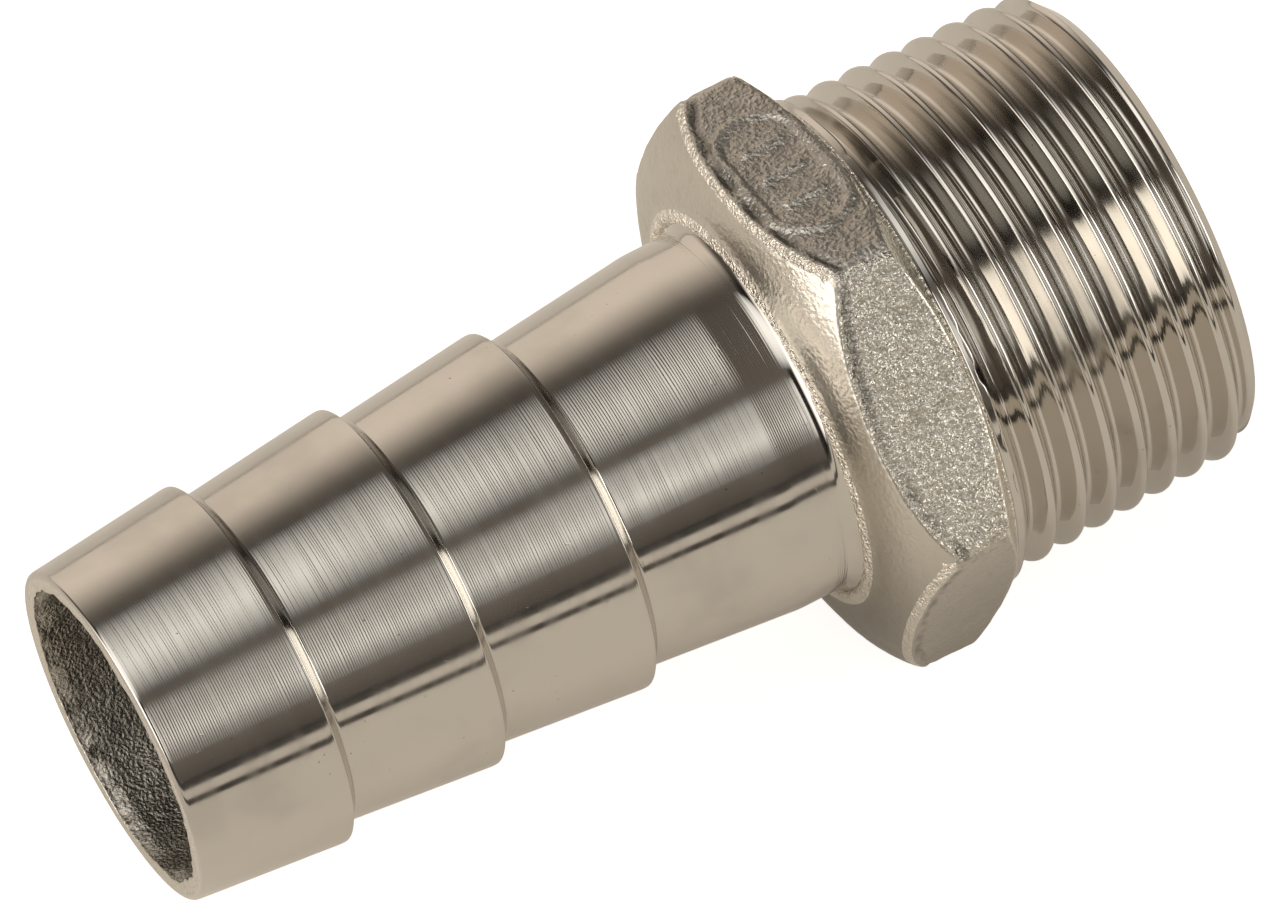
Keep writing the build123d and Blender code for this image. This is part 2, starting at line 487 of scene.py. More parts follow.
def add_steps(shell):
    """A burr, two fine steps and a torn band where the thread's cutter stopped."""
    points = at_points(HEX_FRONT, FRONT_FACE_RADIUS, shell.angle)
    burr = unevenness(points, BURR_WAVES)
    torn = unevenness(points, TORN_WAVES)
    nick = smooth(torn, *NICK_RANGE)
    for finish, rows in ((RIM, BURR_ROWS), (THREADED, STEP_ROWS)):
        out, back, burr_share, torn_share = np.array(rows).T[:, :, None]
        radius = FRONT_FACE_RADIUS + out * MM + burr_share * burr - NICK_DEPTH * torn_share * nick
        station = STEP_STATION + back * MM + burr_share * burr
        station = station + torn_share * (TORN_REACH * torn + NICK_REACH * nick)
        shell.add(station, radius, finish)


def add_bore(shell, end_radius):
    """The thread's flat end face, then the bore back to the hose end, closer there."""
    face = end_radius + np.array(FACE_SHARES)[:, None] * (BORE_RADIUS + BORE_BREAK - end_radius)
    shell.add(0.0, face, THREADED)
    half_break = BORE_BREAK / 2
    mouth = [(0.0, BORE_RADIUS + BORE_BREAK), (half_break, BORE_RADIUS + half_break)]
    shell.add_profile(mouth, THREADED)
    far = np.linspace(BORE_BREAK, LENGTH - SEEN_BORE, FAR_BORE_ROWS)
    near = np.linspace(LENGTH - SEEN_BORE, LENGTH - BORE_BREAK, SEEN_BORE_ROWS)[1:]
    shell.add(np.concatenate([far, near])[:, None], BORE_RADIUS, BORE)


def tail_rows():
    """All rows of the tail, from the hose end's rim over the outside and back through the bore.

    Returned with the first row of the thread, the number of its rows and the rows in a turn.
    """
    angle = column_angles()
    shell = Shell(angle)
    hexagon = hex_radius(angle)
    add_rim(shell)
    add_barb(shell)
    add_dome(shell, hexagon)
    add_flats(shell, hexagon)
    add_steps(shell)
    station, radius, turn_rows = thread_rows(angle)
    first_thread_row = shell.row_count()
    shell.add(station, radius, THREADED)
    add_bore(shell, radius[-1])
    return shell, first_thread_row, len(station), turn_rows


def roughened(points, angle, finish, settings):
    """The cast rows moved along the radius, and how much painted shade each point has.

    The flats and dome undulate, the mark and the parting lines stand up, and a groove runs along
    each flat's back edge, where the colour gets painted shade. The bore undulates too.
    """
    station = -points[..., 0]
    side = points[..., 1]
    radius = np.hypot(points[..., 1], points[..., 2])
    direction = points[..., 1:] / radius[..., None]
    cast = np.isin(finish, (CAST, DOME, EDGE))[:, None]
    bore = (finish == BORE)[:, None]
    on_side = (finish == CAST)[:, None] * smooth(radius, *SIDE_FADE)

    # Skin and mark
    swell = smooth(radius, *SKIN_FADE) * (unevenness(points, SKIN_WAVES) - SKIN_SINK)
    below_flat = HALF_FLATS - radius * np.sin(angle)
    on_flat = 1 - smooth(below_flat, MARK_FADE[1], MARK_FADE[0])
    lift = cast * (swell + on_flat * settings.mark_height * mark_share(station, side))

    # Groove along the back edge, uneven, and its painted shade
    from_edge = dome_station(hex_radius(angle)) - station
    from_groove = np.abs(from_edge - GROOVE_PLACE)
    uneven = 1 + unevenness(points, GROOVE_WAVES)
    groove = settings.groove_depth * (1 - smooth(from_groove, 0, GROOVE_HALF))
    lift = lift - on_side * groove * uneven
    inner, outer = GROOVE_SHADE_SHARES
    # Painted shade: the colour is darkened along the groove, where shade falls
    groove_shade = on_side * (1 - smooth(from_groove, inner * GROOVE_HALF, outer * GROOVE_HALF))
    groove_shade = np.clip(groove_shade * uneven, 0, 1)

    # Parting lines: a ridge exp(-(d / width)^2) on two opposite flats
    to_part = radius * np.sin(angle - PARTING_ANGLE)
    seam = np.exp(-((to_part / PARTING_WIDTH) ** 2)) * (1 + unevenness(points, SEAM_WAVES))
    lift = lift + on_side * settings.parting_height * seam

    # Bore, even at its thread end
    lift = lift + bore * smooth(station, *BORE_FADE) * (unevenness(points, BORE_WAVES) - BORE_SINK)
    moved = points.copy()
    moved[..., 1:] += direction * lift[..., None]
    return np.clip(moved, CAD_LOW, CAD_HIGH), groove_shade


def quads_between(rows, columns, first, thread_count, turn_rows):
    """Quads between each row and the next, with the last column joined to the first.

    Inside the thread the joint is shifted by one turn of rows, so that the rows run on as a helix.
    """
    index = np.arange(rows * columns).reshape(rows, columns)
    after = np.arange(rows)
    thread = np.arange(first, first + thread_count)
    after[thread] = np.minimum(thread + turn_rows, first + thread_count - 1)
    wrapped = np.concatenate([index, index[after, :1]], axis=1)
    next_rows = np.roll(wrapped, -1, axis=0)
    return np.stack([
        wrapped[:, :-1], wrapped[:, 1:], next_rows[:, 1:], next_rows[:, :-1],
    ], axis=-1).reshape(-1, 4)


def finish_of_quads(finish, angle):
    """Each quad's finish: its row's, where every second flat is dull and has burred rims."""
    quad_finish = np.repeat(np.roll(finish, -1)[:, None], len(angle), axis=1)
    dull_side = (np.floor((np.degrees(angle) + 0.01) / 60) % 2 == 1)[None, :]
    quad_finish = np.where((quad_finish == CAST) & dull_side, DULL, quad_finish)
    # The rims by the dull flats carry a painted highlight in their colour
    return np.where(quad_finish == EDGE, np.where(dull_side, RIM, DOME), quad_finish).ravel()


def skin_mesh(name, settings):
    """The tail's mesh: rows joined by quads, without the empty ones, and its painted shade attribute.
    """
    shell, *thread = tail_rows()
    angle = shell.angle
    finish = np.concatenate(shell.finish)
    points, groove_shade = roughened(np.concatenate(shell.points), angle[None, :], finish, settings)
    quads = quads_between(*points.shape[:2], *thread)
    quad_finish = finish_of_quads(finish, angle)

    # Points held on the end planes coincide, so they are merged and the empty faces dropped
    points = points.reshape(-1, 3)
    keys = np.round(points / MERGE_DISTANCE).astype(np.int64)
    _, keep, merged = np.unique(keys, axis=0, return_index=True, return_inverse=True)
    quads = merged.reshape(-1)[quads]
    same_next = quads == np.roll(quads, -1, axis=1)
    sides = 4 - same_next.sum(axis=1)
    folded = (quads[:, 0] == quads[:, 2]) | (quads[:, 1] == quads[:, 3])
    solid = (sides >= 3) & ~folded
    sides = sides[solid]
    loops = quads[solid][~same_next[solid]]
    starts = np.concatenate([[0], np.cumsum(sides)[:-1]])

    mesh = bpy.data.meshes.new(name)
    mesh.vertices.add(len(keep))
    mesh.vertices.foreach_set("co", points[keep].astype(np.float32).ravel())
    mesh.loops.add(len(loops))
    mesh.loops.foreach_set("vertex_index", loops.astype(np.int32))
    mesh.polygons.add(len(sides))
    mesh.polygons.foreach_set("loop_start", starts.astype(np.int32))
    mesh.polygons.foreach_set("material_index", quad_finish[solid].astype(np.int32))
    mesh.polygons.foreach_set("use_smooth", np.ones(len(sides), bool))
    # Painted shade along the grooves, kept on the mesh for the steels
    painted_shade = mesh.attributes.new("painted_shade", "FLOAT", "POINT")
    painted_shade.data.foreach_set("value", groove_shade.ravel()[keep].astype(np.float32))
    mesh.update(calc_edges=True)
    mesh.validate(verbose=False)
    return mesh


# Materials


def new_group(name, inputs, outputs):
    """A shader node group with named inputs (name, type, default) and outputs (name, type)."""
    group = bpy.data.node_groups.new(name, "ShaderNodeTree")
    for socket_name, socket_type, default in inputs:
        socket = group.interface.new_socket(socket_name, in_out="INPUT", socket_type=socket_type)
        if default is not None:
            socket.default_value = default
    for socket_name, socket_type in outputs:
        group.interface.new_socket(socket_name, in_out="OUTPUT", socket_type=socket_type)
    return group, group.nodes.new("NodeGroupInput"), group.nodes.new("NodeGroupOutput")


def feed(tree, value, socket):
    """Link a socket to an input, or set the input to a number."""
    if isinstance(value, (int, float)):
        socket.default_value = value
    else:
        tree.links.new(value, socket)


def math_node(tree, operation, first, second=None, clamp=False):
    """A Math node whose inputs are sockets or numbers; its output socket."""
    node = tree.nodes.new("ShaderNodeMath")
    node.operation = operation
    node.use_clamp = clamp
    feed(tree, first, node.inputs[0])
    if second is not None:
        feed(tree, second, node.inputs[1])
    return node.outputs[0]


def multiply(tree, first, second):
    """The product of two sockets or numbers."""
    return math_node(tree, "MULTIPLY", first, second)


def vector_node(tree, operation, vector, by):
    """A Vector Math node of a socket and a constant; the node."""
    node = tree.nodes.new("ShaderNodeVectorMath")
    node.operation = operation
    node.inputs[1].default_value = by
    tree.links.new(vector, node.inputs[0])
    return node


def noise_node(tree, vector, scale, detail, rough=0.5):
    """A Noise Texture node's factor output."""
    node = tree.nodes.new("ShaderNodeTexNoise")
    node.inputs["Detail"].default_value = detail
    node.inputs["Roughness"].default_value = rough
    tree.links.new(vector, node.inputs["Vector"])
    feed(tree, scale, node.inputs["Scale"])
    return node.outputs["Fac"]


def range_node(tree, value, source, target):
    """A smooth Map Range node's output: the source range (low, high) taken to the target range."""
    node = tree.nodes.new("ShaderNodeMapRange")
    node.interpolation_type = "SMOOTHSTEP"
    tree.links.new(value, node.inputs["Value"])
    node.inputs["From Min"].default_value, node.inputs["From Max"].default_value = source
    node.inputs["To Min"].default_value, node.inputs["To Max"].default_value = target
    return node.outputs["Result"]


def lathe_lines_group():
    """Fine rings left by a lathe tool: noise along the profile (x less radius) that hardly turns.

    The height is u + u sin(2 pi (lines + wander)), with u a fine noise and the wander a slow one.
    """
    group, source, sink = new_group(
        "Lathe lines",
        [("Vector", "NodeSocketVector", None), ("Lines per metre", "NodeSocketFloat", 6000.0),
         ("Drift", "NodeSocketFloat", 120.0)],
        [("Height", "NodeSocketFloat"), ("Bands", "NodeSocketFloat")],
    )
    split = group.nodes.new("ShaderNodeSeparateXYZ")
    group.links.new(source.outputs["Vector"], split.inputs[0])
    x, y, z = split.outputs
    square = math_node(group, "ADD", multiply(group, y, y), multiply(group, z, z))
    along = math_node(group, "SUBTRACT", x, math_node(group, "SQRT", square))
    lines = multiply(group, along, source.outputs["Lines per metre"])
    drift = source.outputs["Drift"]
    join = group.nodes.new("ShaderNodeCombineXYZ")
    for place, socket in enumerate((lines, multiply(group, y, drift), multiply(group, z, drift))):
        group.links.new(socket, join.inputs[place])
    wide = vector_node(group, "MULTIPLY", join.outputs[0], (0.11, 0.5, 0.5))
    bands = noise_node(group, wide.outputs[0], scale=1.0, detail=2.0, rough=0.6)
    wander = multiply(group, bands, 2.5)
    turns = multiply(group, math_node(group, "ADD", lines, wander), 2 * pi)
    uneven = noise_node(group, join.outputs[0], scale=0.9, detail=1.0, rough=0.6)
    wave = multiply(group, math_node(group, "SINE", turns), uneven)
    group.links.new(math_node(group, "ADD", wave, uneven), sink.inputs["Height"])
    group.links.new(bands, sink.inputs["Bands"])
    return group


def casting_grain_group():
    """The sand skin of a casting: round grains on coarser lumps, and a mask of small dark pits."""
    group, source, sink = new_group(
        "Casting grain",
        [("Vector", "NodeSocketVector", None), ("Grains per metre", "NodeSocketFloat", 4200.0)],
        [("Height", "NodeSocketFloat"), ("Pits", "NodeSocketFloat")],
    )
    vector = source.outputs["Vector"]
    scale = source.outputs["Grains per metre"]
    grain = noise_node(group, vector, scale, detail=2.0, rough=0.45)
    lumps = noise_node(group, vector, multiply(group, scale, 0.28), detail=2.0)
    pits = noise_node(group, vector, multiply(group, scale, 0.55), detail=1.0)
    height = math_node(group, "ADD", grain, multiply(group, lumps, 0.8))
    group.links.new(height, sink.inputs["Height"])
    group.links.new(range_node(group, pits, (0.7, 0.78), (0.0, 1.0)), sink.inputs["Pits"])
    return group


def fine_wear_group():
    """Handling marks: masks of short thin scratches and of specks, and slow stains."""
    group, source, sink = new_group(
        "Fine wear",
        [("Vector", "NodeSocketVector", None)],
        [("Scratches", "NodeSocketFloat"), ("Stains", "NodeSocketFloat"),
         ("Specks", "NodeSocketFloat")],
    )
    vector = source.outputs["Vector"]
    stretched = group.nodes.new("ShaderNodeMapping")
    stretched.inputs["Rotation"].default_value = (radians(20), radians(35), radians(50))
    stretched.inputs["Scale"].default_value = (2200, 260, 2200)
    group.links.new(vector, stretched.inputs["Vector"])
    scratch = noise_node(group, stretched.outputs[0], scale=1.0, detail=1.0)
    stains = noise_node(group, vector, scale=160.0, detail=3.0, rough=0.55)
    specks = noise_node(group, vector, scale=5200.0, detail=0.0)
    group.links.new(range_node(group, scratch, (0.76, 0.8), (0.0, 1.0)), sink.inputs["Scratches"])
    group.links.new(stains, sink.inputs["Stains"])
    group.links.new(range_node(group, specks, (0.86, 0.89), (0.0, 1.0)), sink.inputs["Specks"])
    return group


def group_node(tree, group, vector, **values):
    """Place a node group, feed it the vector and set its other inputs by name."""
    node = tree.nodes.new("ShaderNodeGroup")
    node.node_tree = group
    tree.links.new(vector, node.inputs["Vector"])
    for name, value in values.items():
        node.inputs[name.replace("_", " ")].default_value = value
    return node


def scaled(colour, factor):
    """A colour with each part times a factor."""
    return tuple(factor * part for part in colour)


def metal(name, colour, roughness):
    """A metal material with Object coordinates: (material, tree, bsdf, vector)."""
    material = bpy.data.materials.new(name)
    material.use_nodes = True
    tree = material.node_tree
    bsdf = tree.nodes["Principled BSDF"]
    bsdf.inputs["Base Color"].default_value = (*colour, 1)
    bsdf.inputs["Metallic"].default_value = 1.0
    bsdf.inputs["Roughness"].default_value = roughness
    coordinates = tree.nodes.new("ShaderNodeTexCoord")
    return material, tree, bsdf, coordinates.outputs["Object"]


def stain_and_shade(tree, bsdf, colour, dark, masks):
    """Base Color: the colour, darker by the largest of the masks: stains, specks, pits, painted shade.
    """
    factor = masks[0]
    for mask in masks[1:]:
        factor = math_node(tree, "MAXIMUM", factor, mask)
    mix = tree.nodes.new("ShaderNodeMix")
    mix.data_type = "RGBA"
    mix.inputs["A"].default_value = (*colour, 1)
    mix.inputs["B"].default_value = (*scaled(colour, dark), 1)
    tree.links.new(factor, mix.inputs["Factor"])
    tree.links.new(mix.outputs["Result"], bsdf.inputs["Base Color"])


def bumped(tree, bsdf, *layers):
    """The BSDF's normal from layers of (height, distance), each Bump node on top of the last."""
    normal = None
    for height, distance in layers:
        node = tree.nodes.new("ShaderNodeBump")
        node.inputs["Strength"].default_value = 1.0
        node.inputs["Distance"].default_value = distance
        tree.links.new(height, node.inputs["Height"])
        if normal is not None:
            tree.links.new(normal, node.inputs["Normal"])
        normal = node.outputs["Normal"]
    tree.links.new(normal, bsdf.inputs["Normal"])


def turned_steel(settings, groups):
    """Turned steel: bright, with fine rings round the axis, faint bands and a few specks."""
    colour = tuple(settings.steel_colour)
    material, tree, bsdf, vector = metal("turned_steel", colour, roughness=0.16)
    lines = group_node(tree, groups["lathe"], vector, Lines_per_metre=8100.0, Drift=150.0)
    wear = group_node(tree, groups["wear"], vector)
    bumped(tree, bsdf, (lines.outputs["Height"], 0.0022 * MM), (wear.outputs["Scratches"], 0.002 * MM))
    rough = range_node(tree, lines.outputs["Bands"], (0.3, 0.7), (0.08, 0.14))
    tree.links.new(rough, bsdf.inputs["Roughness"])
    stained = range_node(tree, wear.outputs["Stains"], (0.45, 0.75), (0.0, 1.0))
    stained = multiply(tree, stained, 0.25)
    stain_and_shade(tree, bsdf, colour, 0.45, [stained, wear.outputs["Specks"]])
    return material


def threaded_steel(settings, groups):
    """Cut thread: smoother and glossier than the hose end, with faint tool lines and stains."""
    colour = tuple(settings.steel_colour)
    material, tree, bsdf, vector = metal("threaded_steel", colour, roughness=0.12)
    wear = group_node(tree, groups["wear"], vector)
    lines = group_node(tree, groups["lathe"], vector, Lines_per_metre=4200.0, Drift=60.0)
    bumped(
        tree, bsdf,
        (wear.outputs["Stains"], 0.012 * MM),
        (lines.outputs["Height"], 0.0016 * MM),
        (wear.outputs["Scratches"], 0.001 * MM),
    )
    rough = range_node(tree, wear.outputs["Stains"], (0.35, 0.7), (0.07, 0.18))
    tree.links.new(rough, bsdf.inputs["Roughness"])
    stained = range_node(tree, wear.outputs["Stains"], (0.5, 0.8), (0.0, 1.0))
    stained = multiply(tree, stained, 0.35)
    stain_and_shade(tree, bsdf, colour, 0.4, [stained, wear.outputs["Specks"]])
    return material


def grained_steel(name, colour, groups, grains, height, rough, pit, painted_shade):
    """Cast steel with so many grains to the metre, of a given height.

    It is darker between the grains by the share of pit. Low on the tail it is darker by a given share,
    as painted shade under the tail, and darker in the grooves by the mesh's painted shade attribute.
    The roughness runs from between the grains to their tops.
    """
    material, tree, bsdf, vector = metal(name, colour, roughness=rough[0])
    grain = group_node(tree, groups["grain"], vector, Grains_per_metre=grains)
    bumped(tree, bsdf, (grain.outputs["Height"], height))
    finish = range_node(tree, grain.outputs["Height"], (0.6, 1.2), rough)
    tree.links.new(finish, bsdf.inputs["Roughness"])
    low = range_node(tree, grain.outputs["Height"], (0.6, 0.95), (pit, 0.0))
    split = tree.nodes.new("ShaderNodeSeparateXYZ")
    tree.links.new(vector, split.inputs[0])
    # Painted shade: the colour grows darker towards the underside of the tail, by the given share
    under = range_node(tree, split.outputs["Z"], (-9 * MM, 4 * MM), (painted_shade, 0.0))
    # Painted shade in the grooves along the flats' back edges, from the mesh's attribute
    attribute = tree.nodes.new("ShaderNodeAttribute")
    attribute.attribute_name = "painted_shade"
    in_groove = multiply(tree, attribute.outputs["Fac"], 0.75)
    stain_and_shade(tree, bsdf, colour, 0.35, [under, low, in_groove])
    return material


# In the grained steels below, the last share is painted shade that darkens the underside of the tail
def cast_steel(settings, groups):
    """The bright flats: tumbled grains that sparkle where they catch the light."""
    return grained_steel(
        "cast_steel", scaled(settings.cast_colour, 1.06), groups,
        grains=4000.0, height=0.26 * MM, rough=(0.33, 0.20), pit=0.4, painted_shade=0.1)


def dull_steel(settings, groups):
    """The flats between them, left as cast: darker and duller."""
    return grained_steel(
        "dull_steel", tuple(settings.dull_colour), groups,
        grains=4100.0, height=0.13 * MM, rough=(0.42, 0.32), pit=0.35, painted_shade=0.4)


def dome_steel(settings, groups):
    """The hex's domed back: satin, with hardly any grain."""
    return grained_steel(
        "dome_steel", tuple(settings.cast_colour), groups,
        grains=3900.0, height=0.05 * MM, rough=(0.34, 0.28), pit=0.12, painted_shade=0.8)


def rim_highlight_steel(settings, groups):
    """The burrs along the hex's edges: small grains, with the colour raised as a painted highlight."""
    # Painted highlight: the colour is 1.5 times the cast steel's
    return grained_steel(
        "rim_highlight_steel", scaled(settings.cast_colour, 1.5), groups,
        grains=5200.0, height=0.28 * MM, rough=(0.22, 0.13), pit=0.5, painted_shade=0.4)


def smooth_steel(settings, groups):
    """The hex's front chamfer and the hose end's face: cut smooth and dull."""
    return grained_steel(
        "smooth_steel", scaled(settings.cast_colour, 1.25), groups,
        grains=3800.0, height=0.07 * MM, rough=(0.3, 0.2), pit=0.15, painted_shade=0.3)


def bore_steel(settings, groups):
    """The bore as cast: dark, coarse and dull."""
    colour = tuple(settings.bore_colour)
    material, tree, bsdf, vector = metal("bore_steel", colour, roughness=0.4)
    grain = group_node(tree, groups["grain"], vector, Grains_per_metre=5400.0)
    bumped(tree, bsdf, (grain.outputs["Height"], 0.12 * MM))
    low = range_node(tree, grain.outputs["Height"], (0.6, 1.0), (0.5, 0.0))
    stain_and_shade(tree, bsdf, colour, 0.25, [grain.outputs["Pits"], low])
    return material


STEELS = (turned_steel, cast_steel, threaded_steel, bore_steel, dome_steel, dull_steel, rim_highlight_steel,
          smooth_steel)


# Stage

FLOOR_HEIGHT = -HALF_FLATS - 0.05 * MM
STAGE_REACH = 3.0
CLOTH_HEIGHT = FLOOR_HEIGHT + 0.02 * MM
CLOTH_COLOUR = (0.04, 0.036, 0.032)

# Black cloth on the floor in front: (name, near edge, far edge), distances from the axis
FLAGS = (("near_flag", 63 * MM, 84 * MM), ("far_flag", 170 * MM, 3000 * MM))

# Camera: 45 degrees down at the axis, swung and rolled
CAMERA_DISTANCE = 780.9 * MM
CAMERA_SWING = radians(13.95)
CAMERA_ROLL = radians(26.99)
CAMERA_LENS = 435.9
CAMERA_SENSOR = 36.0
CAMERA_CLIP = (0.05, 20.0)
CAMERA_TARGET = Vector((-28.57, 0.591, 0.591)) * MM
SLANT = 0.5**0.5

# Softboxes: (name, span along x, ((degrees up from the front horizon, light), ...))
SOFTBOX_COLOUR = (1.0, 0.985, 0.95)
SOFTBOX_DISTANCE = 1.0
SIDE_SPAN = (0.62, 2.4)
SOFTBOXES = (
    ("top_softbox", (-0.25, 0.056),
     ((59, 0.1), (63, 0.35), (67, 0.6), (72, 0.84), (77, 1.06), (83, 1.2), (90, 1.05), (97, 0.86),
      (104, 0.68), (110, 0.38), (114, 0.1))),
    ("front_softbox", (-0.075, 0.225),
     ((14, 0.28), (19, 0.45), (23, 0.8), (28, 1.2), (33, 1.05), (40, 0.8), (48, 0.64), (51, 0.4),
      (54, 0.18))),
    ("side_softbox", SIDE_SPAN, ((1, 1.4), (7, 2.7), (35, 2.9), (52, 2.7), (57, 1.4))),
    ("grey_card", SIDE_SPAN, ((70, 0.05), (80, 0.5), (110, 0.5), (120, 0.05))),
    ("crest_softbox", (-1.5, -0.25),
     ((59, 0.1), (66, 1.2), (80, 1.6), (95, 1.6), (108, 1.2), (114, 0.1))),
    ("left_softbox", (-0.6, -0.2), ((14, 0.4), (22, 1.3), (45, 1.3), (52, 0.4))),
)

# Room: (degrees from the front horizon over the top, light), dimmed where x is large; its end wall
# on the hose end's side glows
ROOM_TINT = (1.0, 0.88, 0.76)
ROOM_LIGHT = ((0, 0.10), (14, 0.22), (50, 0.17), (60, 0.16), (108, 0.12), (119, 0.09), (130, 0.27),
              (145, 0.85), (155, 0.95), (166, 0.92), (180, 0.85))
ROOM_SIDE_EDGES = (0.25, 0.6)
ROOM_SIDES = 0.12
END_WALL_LIGHT = 2.7
END_WALL_EDGES = (-0.95, -0.7)
END_WALL_TINT = (1.0, 0.94, 0.89)


def camera_matrix():
    """The camera looks 45 degrees down at the axis, swung towards the hose end and rolled."""
    cos_s, sin_s = cos(CAMERA_SWING), sin(CAMERA_SWING)
    back = Vector((-sin_s, -SLANT * cos_s, SLANT * cos_s))
    along = Vector((cos_s, -SLANT * sin_s, SLANT * sin_s))
    across = Vector((0, SLANT, SLANT))
    cos_r, sin_r = cos(CAMERA_ROLL), sin(CAMERA_ROLL)
    right = cos_r * along - sin_r * across
    up = sin_r * along + cos_r * across
    place = CAMERA_TARGET + CAMERA_DISTANCE * back
    return Matrix((
        (right.x, up.x, back.x, place.x),
        (right.y, up.y, back.y, place.y),
        (right.z, up.z, back.z, place.z),
        (0, 0, 0, 1),
    ))


def plane(name, corners, material):
    """A flat four-sided stage piece with the given corners."""
    mesh = bpy.data.meshes.new(name)
    mesh.from_pydata([tuple(c) for c in corners], [], [(0, 1, 2, 3)])
    mesh.materials.append(material)
    item = bpy.data.objects.new(name, mesh)
    bpy.context.scene.collection.objects.link(item)
    return item


def level_plane(name, height, front, back, material):
    """A level plane across the whole stage, between two places along y."""
    left, right = -STAGE_REACH, STAGE_REACH
    corners = [(x, y, height) for x, y in ((left, front), (right, front), (right, back), (left, back))]
    return plane(name, corners, material)


def light_ramp(tree, value, stops, colour):
    """A Color Ramp over (place, light) stops, with each light in the given colour."""
    ramp = tree.nodes.new("ShaderNodeValToRGB")
    ramp.color_ramp.interpolation = "B_SPLINE"
    elements = ramp.color_ramp.elements
    while len(elements) > 1:
        elements.remove(elements[-1])
    for step, (place, light) in enumerate(stops):
        element = elements[0] if step == 0 else elements.new(place)
        element.position = place
        element.color = (*scaled(colour, light), 1)
    tree.links.new(value, ramp.inputs["Fac"])
    return ramp.outputs["Color"]


def mixed(tree, factor, first, second):
    """A Mix Shader node's output."""
    mix = tree.nodes.new("ShaderNodeMixShader")
    for place, socket in enumerate((factor, first, second)):
        tree.links.new(socket, mix.inputs[place])
    return mix.outputs[0]


def added(tree, first, second):
    """An Add Shader node's output."""
    add = tree.nodes.new("ShaderNodeAddShader")
    tree.links.new(first, add.inputs[0])
    tree.links.new(second, add.inputs[1])
    return add.outputs[0]


def glow_material(name, centre, rise, stops):
    """A softbox's cloth: its light runs through the stops from the lower edge, 0, to the upper, 1.

    With c the centre and r half the rise, a point p is at 0.5 + (p - c) . r / (2 r . r).
    """
    material = bpy.data.materials.new(name)
    material.use_nodes = True
    tree = material.node_tree
    tree.nodes.clear()
    coordinates = tree.nodes.new("ShaderNodeTexCoord")
    shift = vector_node(tree, "SUBTRACT", coordinates.outputs["Object"], centre)
    dot = vector_node(tree, "DOT_PRODUCT", shift.outputs[0], rise / (2 * rise.length_squared))
    place = math_node(tree, "ADD", dot.outputs["Value"], 0.5)
    brightest = max(light for _, light in stops)
    even_stops = [(at, light / brightest) for at, light in stops]
    glow = tree.nodes.new("ShaderNodeEmission")
    glow.inputs["Strength"].default_value = brightest
    tree.links.new(light_ramp(tree, place, even_stops, SOFTBOX_COLOUR), glow.inputs["Color"])
    back = tree.nodes.new("ShaderNodeNewGeometry").outputs["Backfacing"]
    clear = tree.nodes.new("ShaderNodeBsdfTransparent").outputs[0]
    output = tree.nodes.new("ShaderNodeOutputMaterial")
    tree.links.new(mixed(tree, back, glow.outputs[0], clear), output.inputs["Surface"])
    return material


def softbox(name, x_range, profile):
    """A glowing panel over a span of elevations about the x axis, measured up from the front.

    It faces the axis, and its light follows the profile of (elevation, light).
    """
    low, high = radians(profile[0][0]), radians(profile[-1][0])
    centre_angle, half_angle = (low + high) / 2, (high - low) / 2
    outward = Vector((0, -cos(centre_angle), sin(centre_angle)))
    upward = Vector((0, sin(centre_angle), cos(centre_angle)))
    half_width = (x_range[1] - x_range[0]) / 2
    centre = Vector(((x_range[0] + x_range[1]) / 2, 0, 0)) + SOFTBOX_DISTANCE * outward
    side = Vector((half_width, 0, 0))
    rise = SOFTBOX_DISTANCE * tan(half_angle) * upward
    stops = [
        (0.5 + 0.5 * tan(radians(angle) - centre_angle) / tan(half_angle), light)
        for angle, light in profile
    ]
    corners = [centre - side - rise, centre - side + rise, centre + side + rise, centre + side - rise]
    item = plane(name, corners, glow_material(name, centre, rise, stops))
    item.visible_camera = False
    item.visible_shadow = False


def floor_material(settings):
    """Pale paper that the camera sees as white, with the object's shadow on it."""
    material = bpy.data.materials.new("pale_floor")
    material.use_nodes = True
    tree = material.node_tree
    bsdf = tree.nodes["Principled BSDF"]
    bsdf.inputs["Base Color"].default_value = (*settings.floor_colour, 1)
    bsdf.inputs["Roughness"].default_value = 0.9
    path = tree.nodes.new("ShaderNodeLightPath").outputs
    mirrored = math_node(tree, "MAXIMUM", path["Is Glossy Ray"], path["Is Transmission Ray"])
    shader = bsdf.outputs[0]
    for seen, colour, strength in (
        (path["Is Camera Ray"], (1, 1, 1), settings.floor_glow),
        (mirrored, settings.floor_colour, settings.mirrored_glow),
    ):
        glow = tree.nodes.new("ShaderNodeEmission")
        glow.inputs["Color"].default_value = (*colour, 1)
        tree.links.new(multiply(tree, seen, strength), glow.inputs["Strength"])
        shader = added(tree, shader, glow.outputs[0])
    tree.links.new(shader, tree.nodes["Material Output"].inputs["Surface"])
    return material


def cloth_material():
    """Black cloth."""
    material = bpy.data.materials.new("black_flag")
    material.use_nodes = True
    bsdf = material.node_tree.nodes["Principled BSDF"]
    bsdf.inputs["Base Color"].default_value = (*CLOTH_COLOUR, 1)
    bsdf.inputs["Roughness"].default_value = 1.0
    return material


